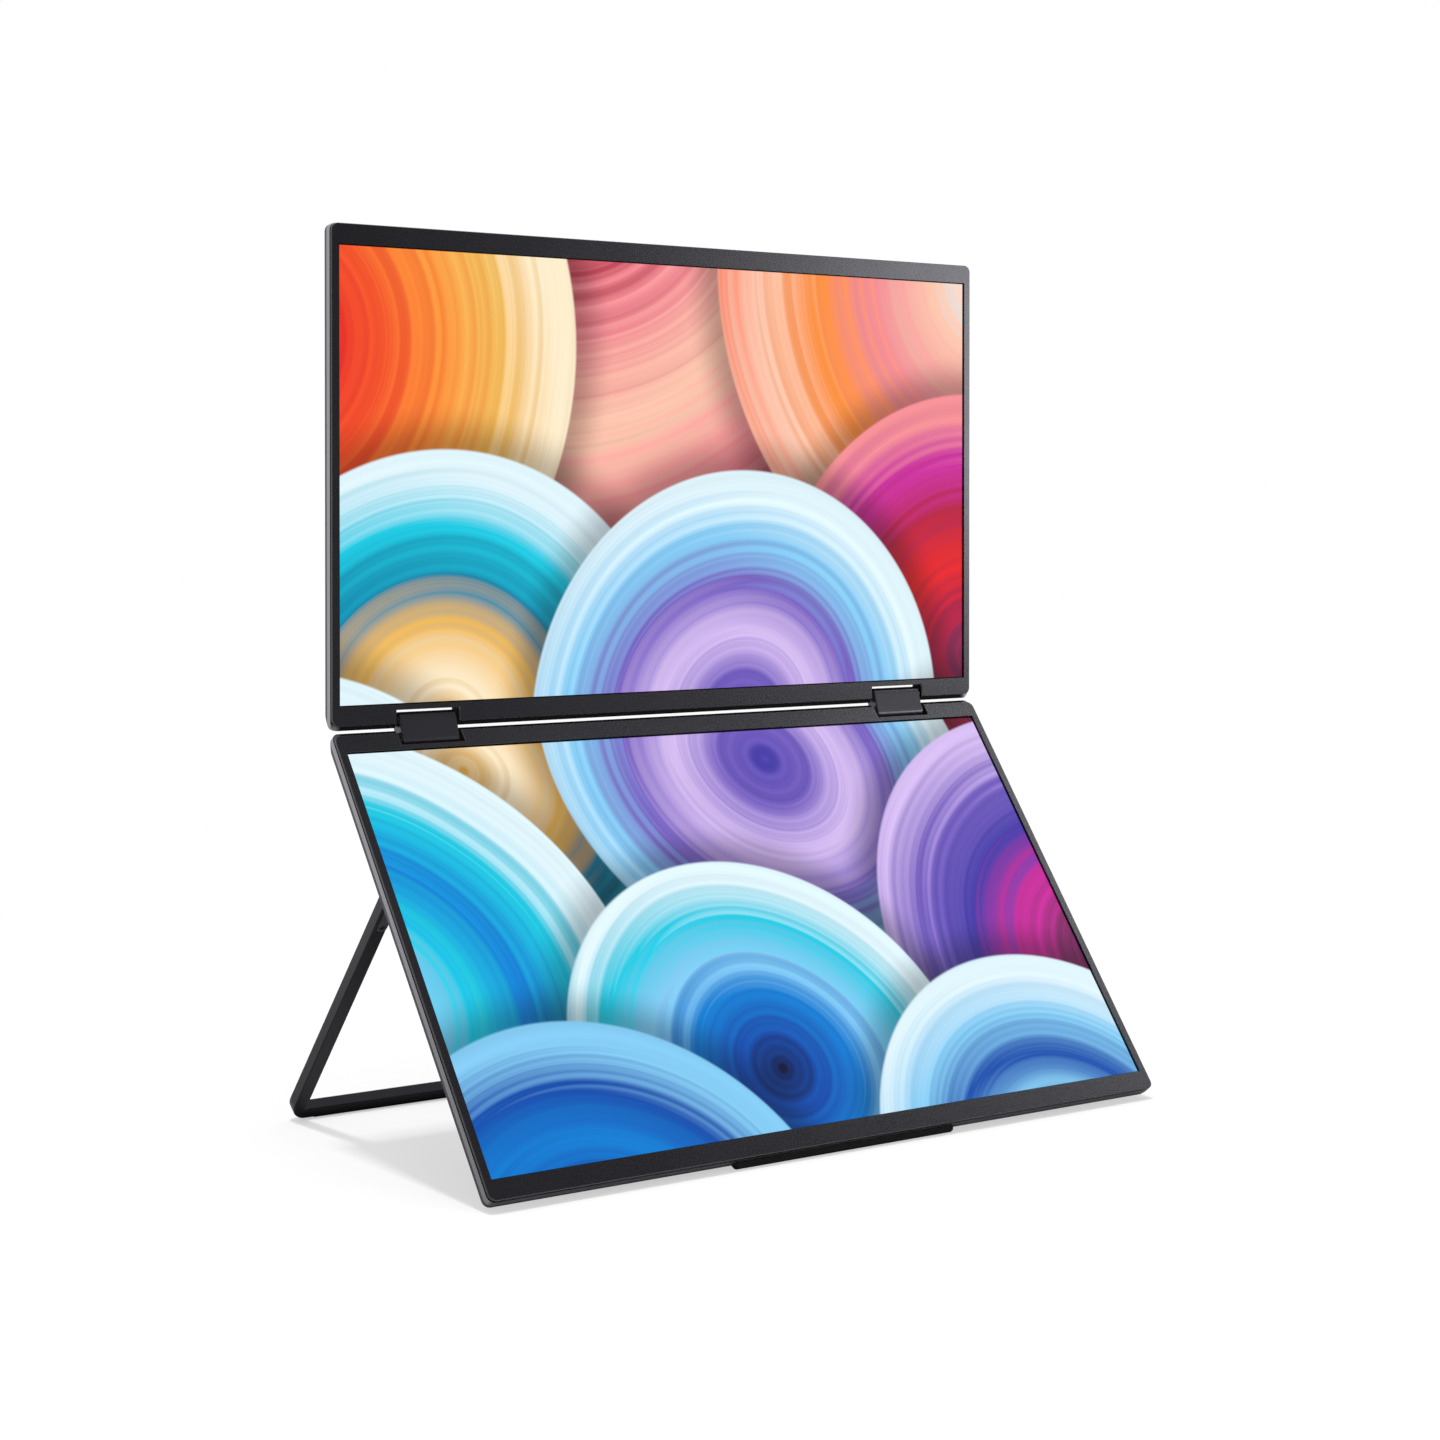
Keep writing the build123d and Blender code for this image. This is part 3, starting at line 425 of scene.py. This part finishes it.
# Both panels, from their display glass: the upper one is upright, so its box is the glass's size
glass_low, glass_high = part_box("upper_lcd_panel")
glass_size = glass_high - glass_low
lit_width = glass_size.x - 2 * glass_border
lit_height = glass_size.z - 2 * glass_border
hinge_line = Vector((0.0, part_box("upper_front_bezel")[0].y, glass_low.z - glass_from_line))

# Distance of a bezel's face in front of the middle of the display glass
bezel_front = (glass_low.y + glass_high.y) / 2 - hinge_line.y


class Panel:
    """One panel, and the move that lays it flat: its display glass facing +Z, its middle at the origin."""

    def __init__(self, name, row):
        low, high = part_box(name + "_lcd_panel")
        size = high - low
        # the box of the glass gives its lean, because its height and its thickness are known
        lean = math.atan2(
            glass_size.z * size.y - glass_size.y * size.z,
            glass_size.z * size.z - glass_size.y * size.y,
        )
        self.name = name
        self.row = row
        # up or down the face, away from the hinge line
        self.away = 1 if row else -1
        self.turn = lean - math.pi / 2
        self.flat = Matrix.Rotation(self.turn, 4, "X") @ Matrix.Translation(-(low + high) / 2)

    def face_place(self, finish):
        """Wires across the panel, up it and out of its face, in metres from the glass's middle."""
        return finish.parts(finish.mapped(turn=self.turn, shift=self.flat.translation))

    def picture_place(self, finish):
        """Place on the picture, in screen heights from the bottom of the lower screen."""
        screen_middle = self.row + 0.5
        shift = self.flat.translation / lit_height + Vector((0.0, screen_middle, 0.0))
        return finish.mapped(scale=(1 / lit_height,) * 3, turn=self.turn, shift=shift)

    def edge_break(self, finish):
        """1 on the edge break round the bezel, where a highlight is painted, 0 on its face, its walls and
        its window.
        """
        across, up, out = self.face_place(finish)
        aside = finish.math("GREATER_THAN", finish.math("ABSOLUTE", across), glass_size.x / 2)
        above = finish.math("GREATER_THAN", finish.math("ABSOLUTE", up), glass_size.z / 2)
        middle = bezel_front - edge_break_softness - edge_break_depth / 2
        edge = finish.within(out, middle, edge_break_depth / 2, edge_break_softness)
        return edge * finish.math("MAXIMUM", aside, above)


lower_panel = Panel("lower", 0)
upper_panel = Panel("upper", 1)
panels = (lower_panel, upper_panel)


def fan_picture(finish, place):
    """Fans of arcs that lie over each other like paper, each with fine streaks and a soft shadow."""
    across, up, _ = finish.parts(place)
    picture = finish.ramp(up / len(panels), even_stops(backdrop_colours))
    drift = finish.noise(place, drift_size_share, drift_detail)
    for number, (fan_across, fan_up, radius, colours) in enumerate(fan_shares):
        inputs = {0: place, 1: (fan_across, fan_up, 0.0)}
        reach = finish.node("VectorMath", {"operation": "DISTANCE"}, inputs, "Value")
        streak_place = reach * streak_count + drift * drift_weight + streak_offset * number
        inputs = {"W": streak_place, "Scale": 1.0, "Detail": streak_detail}
        streak = finish.node("TexNoise", {"noise_dimensions": "1D"}, inputs)
        slant = ((across - fan_across) * slant_across + (up - fan_up) * slant_up) / radius
        rim_share = reach / radius + swing(streak, streak_weight) + slant * slant_weight
        colour = finish.ramp(rim_share, even_stops(colours))
        colour = finish.dimmed(colour, streak_dark + streak * streak_range)
        shadow = finish.between(reach, radius, radius + fan_shadow_share)
        picture = finish.dimmed(picture, fade(1 - fan_shadow_depth, 1, shadow))
        inside = finish.between(reach, radius + fan_edge_share, radius - fan_edge_share)
        picture = finish.mix(picture, colour, inside)
    return picture


def screen_finish(panel):
    """Lit display under matt glass: the picture inside the lit area, black round it."""
    material, finish = new_finish(panel.name + "_screen")
    across, up, _ = panel.face_place(finish)
    lit = finish.within(across, 0.0, lit_width / 2, lit_edge_softness)
    lit = lit * finish.within(up, 0.0, lit_height / 2, lit_edge_softness)
    picture = finish.dimmed(fan_picture(finish, panel.picture_place(finish)), lit)
    _, bumps = finish.grain(finish.place(), anti_glare)
    finish.surface(
        Base_Color=grey(glass_tone),
        Roughness=glass_roughness,
        Specular_IOR_Level=glass_specular,
        Normal=bumps,
        Emission_Color=picture,
        Emission_Strength=1.0,
    )
    return material


def grained_plastic(name, tones, roughness, specular, grain, panel=None):
    """Moulded plastic or paint with a fine grain and faint clouds; a panel's edge break gets a painted
    highlight.
    """
    material, finish = new_finish(name)
    grit, bumps = finish.grain(finish.place(), grain)
    cloud = finish.cloud()
    blend = plastic_grain_share * grit + (1 - plastic_grain_share) * cloud
    tone = finish.mix(*greys(tones, cool_tint), blend)
    if panel:
        # painted highlight: the edge break round a panel's bezel is made lighter
        tone = finish.mix(tone, grey(painted_edge_highlight_tone), panel.edge_break(finish))
    finish.surface(
        Base_Color=tone,
        Roughness=roughness + swing(grit, plastic_grain_swing) + swing(cloud, plastic_cloud_swing),
        Specular_IOR_Level=specular,
        Specular_Tint=cool_gloss,
        Normal=bumps,
    )
    return material


def shell_finish(panel):
    """Rear shell: dark blasted metal, a satin band round the outer edges, and walls at the hinges painted
    near black and matt as shade.
    """
    material, finish = new_finish(panel.name + "_shell")
    across, up, out = panel.face_place(finish)
    aside = finish.math("ABSOLUTE", across) - glass_size.x / 2
    beside = finish.between(aside, -band_end_softness, band_end_softness)
    beyond = finish.math("GREATER_THAN", up * panel.away, -glass_size.z / 2)
    outer = finish.math("MAXIMUM", beside, beyond)
    band = outer * finish.between(out, -band_rear_depth - band_softness, -band_rear_depth + band_softness)
    # painted shade: the shell's walls at the hinges, between the two panels, are made near black and matt
    painted_shade_wall = (1 - outer) * finish.math("GREATER_THAN", out, -painted_shade_wall_depth)
    grit, bumps = finish.grain(finish.place(), blasted)
    blend = shell_grain_share * grit + (1 - shell_grain_share) * finish.cloud()
    tone = finish.mix(*greys(shell_tones, cool_tint), blend)
    tone = finish.mix(tone, grey(painted_shade_wall_tone), painted_shade_wall)
    roughness = fade(shell_roughness, band_roughness, band)
    roughness = roughness + painted_shade_wall * (painted_shade_wall_roughness - shell_roughness)
    finish.surface(
        Base_Color=finish.mix(tone, grey(band_tone, band_tint), band),
        Metallic=band,
        Roughness=roughness + swing(grit, shell_grain_swing),
        Specular_IOR_Level=shell_specular,
        Specular_Tint=cool_gloss,
        Normal=bumps,
    )
    return material


def brushed_metal(name, level, roughness, metallic=1.0):
    """Metal brushed along X."""
    material, finish = new_finish(name)
    brush, bumps = finish.grain(finish.mapped(scale=(1 / brush_stretch, 1.0, 1.0)), brushed)
    tones = (level * (1 - brush_tone_swing), level * (1 + brush_tone_swing))
    finish.surface(
        Base_Color=finish.mix(*greys(tones), brush),
        Metallic=metallic,
        Roughness=roughness + swing(brush, brush_swing) + swing(finish.cloud(), brush_cloud_swing),
        Normal=bumps,
    )
    return material


def rubber_finish():
    """Matt rubber with a fine pebble."""
    material, finish = new_finish("foot_rubber")
    pebble, bumps = finish.grain(finish.place(), pebbled)
    finish.surface(
        Base_Color=finish.mix(*greys(rubber_tones), pebble),
        Roughness=rubber_roughness + swing(pebble, rubber_swing),
        Specular_IOR_Level=rubber_specular,
        Normal=bumps,
    )
    return material


def board_finish():
    """Circuit board: solder mask over copper traces that run both ways in patches."""
    material, finish = new_finish("circuit_board")
    place = finish.place()
    inputs = {"Vector": place, "Scale": math.tau / (wave_radians * trace_pitch)}
    along, upward = [
        finish.node("TexWave", {"wave_type": "BANDS", "bands_direction": direction}, inputs)
        for direction in "XZ"
    ]
    patch = finish.between(finish.noise(place, patch_size), *patch_edges)
    trace = finish.between(along * patch + upward * (1 - patch), *trace_edges)
    finish.surface(
        Base_Color=finish.mix(solder_mask_colour, trace_colour, trace),
        Roughness=fade(solder_mask_roughness, trace_roughness, trace),
        Normal=finish.bump(trace, trace_depth),
    )
    return material


def light_guide_finish():
    """Acrylic light guide with white films and a lattice of dots."""
    material, finish = new_finish("light_guide")
    inputs = {"Vector": finish.place(), "Scale": 1 / dot_pitch, "Randomness": dot_scatter}
    dot = finish.between(finish.node("TexVoronoi", {}, inputs, "Distance"), *dot_edges)
    finish.surface(
        Base_Color=finish.mix(film_colour, dot_colour, dot),
        Roughness=fade(film_roughness, dot_roughness, dot),
    )
    return material


def light_bar_finish():
    """White strip with a row of yellow lamps."""
    material, finish = new_finish("light_bar")
    across, _, _ = finish.parts(finish.place())
    pitch_share = finish.math("FRACT", across / lamp_pitch)
    lamp = finish.within(pitch_share, lamp_middle_share, lamp_half_share, lamp_edge_share)
    finish.surface(
        Base_Color=finish.mix(grey(strip_tone), lamp_colour, lamp),
        Roughness=fade(strip_roughness, lamp_roughness, lamp),
    )
    return material


def socket_finish(name, mounts, tongue_half):
    """Plated socket shells with a black tongue in the middle of each mouth."""
    material, finish = new_finish(name)
    _, up, out = lower_panel.face_place(finish)
    tongue = 0.0
    for mount in frame["record"]["mounts"]:
        if mount["name"] in mounts:
            mouth = lower_panel.flat @ Vector(mount["pos_m"])
            width = finish.within(up, mouth.y, tongue_half[0], tongue_softness)
            thickness = finish.within(out, mouth.z, tongue_half[1], tongue_softness)
            tongue = tongue + width * thickness
    grit, bumps = finish.grain(finish.place(), plated)
    roughness = fade(plating_roughness, tongue_roughness, tongue)
    finish.surface(
        Base_Color=finish.mix(grey(plating_tone), grey(tongue_tone), tongue),
        Metallic=1 - tongue,
        Roughness=roughness + swing(grit, plating_swing),
        Normal=bumps,
    )
    return material


def corner_stretch(angle):
    """How far the sharp corner reaches at an angle, as a share of the CAD corner's radius."""
    shift = 1 - sharp_corner_share
    less, more = sorted((math.cos(angle), math.sin(angle)))
    if less < shift * more:
        return 1 / more
    return shift * (less + more) + math.sqrt(sharp_corner_share ** 2 - (shift * (more - less)) ** 2)


def sharpen_corners(shape, corner):
    """Stretch the rounded corners of a flat-lying shell or bezel to their sharp form."""
    low = Vector([min(vertex.co[axis] for vertex in shape.verts) + corner for axis in range(2)])
    high = Vector([max(vertex.co[axis] for vertex in shape.verts) - corner for axis in range(2)])
    for vertex in shape.verts:
        middle = Vector([min(max(vertex.co[axis], low[axis]), high[axis]) for axis in range(2)])
        reach = vertex.co.xy - middle
        stretch = corner_stretch(math.atan2(abs(reach.y), abs(reach.x))) if reach.length else 1.0
        vertex.co.xy = middle + reach * stretch


def mark_edges(shape):
    """Shade a flat-lying shell or bezel smooth round its corners, with hard edges along its outline."""
    for face in shape.faces:
        face.smooth = True
    for edge in shape.edges:
        first, second = edge.verts
        along_outline = abs(first.co.z - second.co.z) < weld_distance
        edge.smooth = not along_outline and edge.calc_face_angle(math.pi) < smooth_angle


def sharp_copy(panel, part, corner):
    """Copy of a panel's shell or bezel with sharp corners, which stands for the CAD node."""
    node = f"{panel.name}_{part}"
    shape = bmesh.new()
    shape.from_mesh(frame["nodes"][node].data)
    bmesh.ops.remove_doubles(shape, verts=shape.verts, dist=weld_distance)
    bmesh.ops.transform(shape, matrix=panel.flat, verts=shape.verts)
    sharpen_corners(shape, corner)
    mark_edges(shape)
    bmesh.ops.transform(shape, matrix=panel.flat.inverted(), verts=shape.verts)
    mesh = bpy.data.meshes.new(f"{panel.name}_sharp_{part}")
    shape.to_mesh(mesh)
    shape.free()
    # the normals stored with the CAD mesh belong to its rounder corners
    stored_normals = mesh.attributes.get("custom_normal")
    if stored_normals is not None:
        mesh.attributes.remove(stored_normals)
    piece = bpy.data.objects.new(mesh.name, mesh)
    bpy.context.scene.collection.objects.link(piece)
    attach(piece, f"{panel.name}_panel")
    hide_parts(node)
    return mesh


def coat(mesh, material):
    """Give a mesh its one finish."""
    mesh.materials.clear()
    mesh.materials.append(material)


def dress(material, *nodes):
    """Give CAD nodes their finish."""
    for name in nodes:
        coat(frame["nodes"][name].data, material)


def rows(*names):
    """Node names for the lower and the upper panel."""
    return [name.format(panel.name) for name in names for panel in panels]


def sides(*names):
    """Node names for the left and the right."""
    return [name.format(side) for name in names for side in ("left", "right")]


for panel in panels:
    dress(screen_finish(panel), panel.name + "_lcd_panel")
    shell = shell_finish(panel)
    bezel = grained_plastic(
        panel.name + "_bezel",
        tones=(0.0045, 0.0075),
        roughness=0.28,
        specular=0.65,
        grain=eroded,
        panel=panel,
    )
    for part, slot, corner, material in (
        ("rear_shell", "shell_metal", shell_corner, shell),
        ("front_bezel", "bezel_plastic", bezel_corner, bezel),
    ):
        dress(material, f"{panel.name}_{part}")
        coat(sharp_copy(panel, part, corner), material)
dress(
    grained_plastic("hinge_cover", tones=(0.011, 0.015), roughness=0.32, specular=0.85, grain=blasted),
    *sides("{}_hinge_block"),
)
dress(
    grained_plastic("housing_plastic", tones=(0.026, 0.040), roughness=0.55, specular=0.4, grain=pebbled),
    "electronics_housing",
)
dress(
    grained_plastic("button_plastic", tones=(0.010, 0.014), roughness=0.28, specular=0.5, grain=blasted),
    "power_button", "plus_button", "minus_button",
)
dress(
    grained_plastic("stand_metal", tones=(0.005, 0.008), roughness=0.34, specular=0.28, grain=blasted),
    "kickstand_frame",
)
dress(
    brushed_metal("hinge_steel", level=0.06, roughness=0.36),
    *rows("{}_hinge_shafts"), *sides("lower_{}_hinge_leaf", "upper_{}_hinge_leaf"),
    "friction_clips", "hinge_washers", "stand_pins",
)
dress(
    brushed_metal("stand_steel", level=0.11, roughness=0.40, metallic=0.8),
    *sides("{}_stand_leaf", "{}_stand_base"),
)
dress(
    brushed_metal("screw_steel", level=0.06, roughness=0.32),
    *rows("{}_hinge_screws"), "housing_screws", "stand_base_screws", "stand_leaf_screws",
)
dress(rubber_finish(), "foot_strip", "stand_foot_strip")
dress(board_finish(), *rows("{}_driver_board"), "main_board", "button_board")
dress(light_guide_finish(), *rows("{}_backlight"))
dress(light_bar_finish(), *rows("{}_light_bar"))
dress(socket_finish("usb_c_socket", ("usb_c_near_hinge", "usb_c_far"), usb_tongue_half), "usb_c_ports")
dress(socket_finish("mini_hdmi_socket", ("mini_hdmi",), hdmi_tongue_half), "mini_hdmi_port")


def camera_rays(finish):
    """1 for what the camera sees."""
    return finish.node("LightPath", {}, {}, "Is Camera Ray")


def gloss_rays(finish):
    """1 for what gloss and glass show."""
    glossy = finish.node("LightPath", {}, {}, "Is Glossy Ray")
    return finish.math("MAXIMUM", glossy, finish.node("LightPath", {}, {}, "Is Transmission Ray"))


def gloss_level(finish, front):
    """What gloss shows of the studio: white behind the object, the given dark tone in front of it."""
    _, deep, _ = finish.parts(finish.place())
    return fade(front, 1, finish.between(deep, gloss_front_y, gloss_white_y))


def make_floor():
    """Round pale floor that keeps the shadow near the object and takes the studio's tone away from it."""
    material, finish = new_finish("studio_floor")
    distance = finish.node("VectorMath", {"operation": "LENGTH"}, {0: finish.place()}, "Value")
    far = finish.between(distance, floor_shadow_reach, floor_shadow_reach + floor_fade_width)
    seen = camera_rays(finish)
    glow_share = fade(floor_white_share, 1, far) * seen + far * gloss_rays(finish)
    albedo = floor_albedo - gloss_rays(finish) * floor_gloss_loss
    matt = finish.node("BsdfDiffuse", {}, {"Color": albedo})
    level = finish.math("MAXIMUM", seen, gloss_level(finish, floor_gloss_level))
    glow = finish.node("Emission", {}, {"Color": level, "Strength": 1.0})
    finish.output(finish.node("MixShader", {}, {0: glow_share, 1: matt, 2: glow}))
    shape = bmesh.new()
    bmesh.ops.create_circle(shape, cap_ends=True, segments=floor_sides, radius=floor_radius)
    mesh = bpy.data.meshes.new("studio_floor")
    shape.to_mesh(mesh)
    shape.free()
    coat(mesh, material)
    floor = bpy.data.objects.new("studio_floor", mesh)
    bpy.context.scene.collection.objects.link(floor)


def make_world():
    """White to the camera, the studio's tone in gloss, and an even soft light for the rest."""
    world = bpy.data.worlds.new("studio")
    world.use_nodes = True
    bpy.context.scene.world = world
    finish = Finish(world.node_tree)
    in_gloss = gloss_level(finish, front_gloss_level)
    level = finish.node("Mix", {}, {0: gloss_rays(finish), 2: ambient_level, 3: in_gloss})
    level = finish.math("MAXIMUM", level, camera_rays(finish))
    finish.output(finish.node("Background", {}, {"Color": grey(1.0), "Strength": level}), "OutputWorld")


def soft_lamp(name, turn, rise, distance, size, power, gloss_only=False):
    """Lamp that looks at the hinge line; its turn to the right of the front and its rise are in degrees."""
    data = bpy.data.lights.new(name, "AREA")
    data.shape = "RECTANGLE"
    data.size, data.size_y = size
    data.energy = power
    lamp = bpy.data.objects.new(name, data)
    aim = Euler((-math.radians(rise), 0.0, math.radians(turn)))
    towards = aim.to_matrix() @ Vector((0.0, -1.0, 0.0))
    lamp.location = hinge_line + towards * distance
    lamp.rotation_euler = (-towards).to_track_quat("-Z", "Y").to_euler()
    lamp.visible_camera = False
    lamp.visible_diffuse = not gloss_only
    bpy.context.scene.collection.objects.link(lamp)


def make_camera():
    """The photograph's camera; its frame reaches lower than the lens looks, so the sensor is shifted."""
    data = bpy.data.cameras.new("camera")
    data.sensor_width = sensor_width_mm
    data.lens = sensor_width_mm * focal_length_px / photo_width_px
    data.shift_y = (optical_axis_row_px - photo_width_px / 2) / photo_width_px
    camera = bpy.data.objects.new("camera", data)
    camera.location = hinge_line + camera_from_line
    camera.rotation_euler = (math.pi / 2 - camera_dip, 0.0, -camera_turn)
    bpy.context.scene.collection.objects.link(camera)
    bpy.context.scene.camera = camera


bpy.context.scene.view_settings.view_transform = "Standard"
make_floor()
make_world()
soft_lamp("overhead", turn=-90.0, rise=86.0, distance=6.0, size=(0.45, 0.45), power=178.0)
soft_lamp("right_softbox", turn=49.5, rise=7.5, distance=1.7, size=(0.50, 0.47), power=5.5, gloss_only=True)
soft_lamp("high_strip", turn=65.6, rise=33.0, distance=1.7, size=(0.15, 0.70), power=2.0, gloss_only=True)
soft_lamp("high_fill", turn=56.0, rise=52.0, distance=1.7, size=(0.25, 0.25), power=0.2, gloss_only=True)
make_camera()
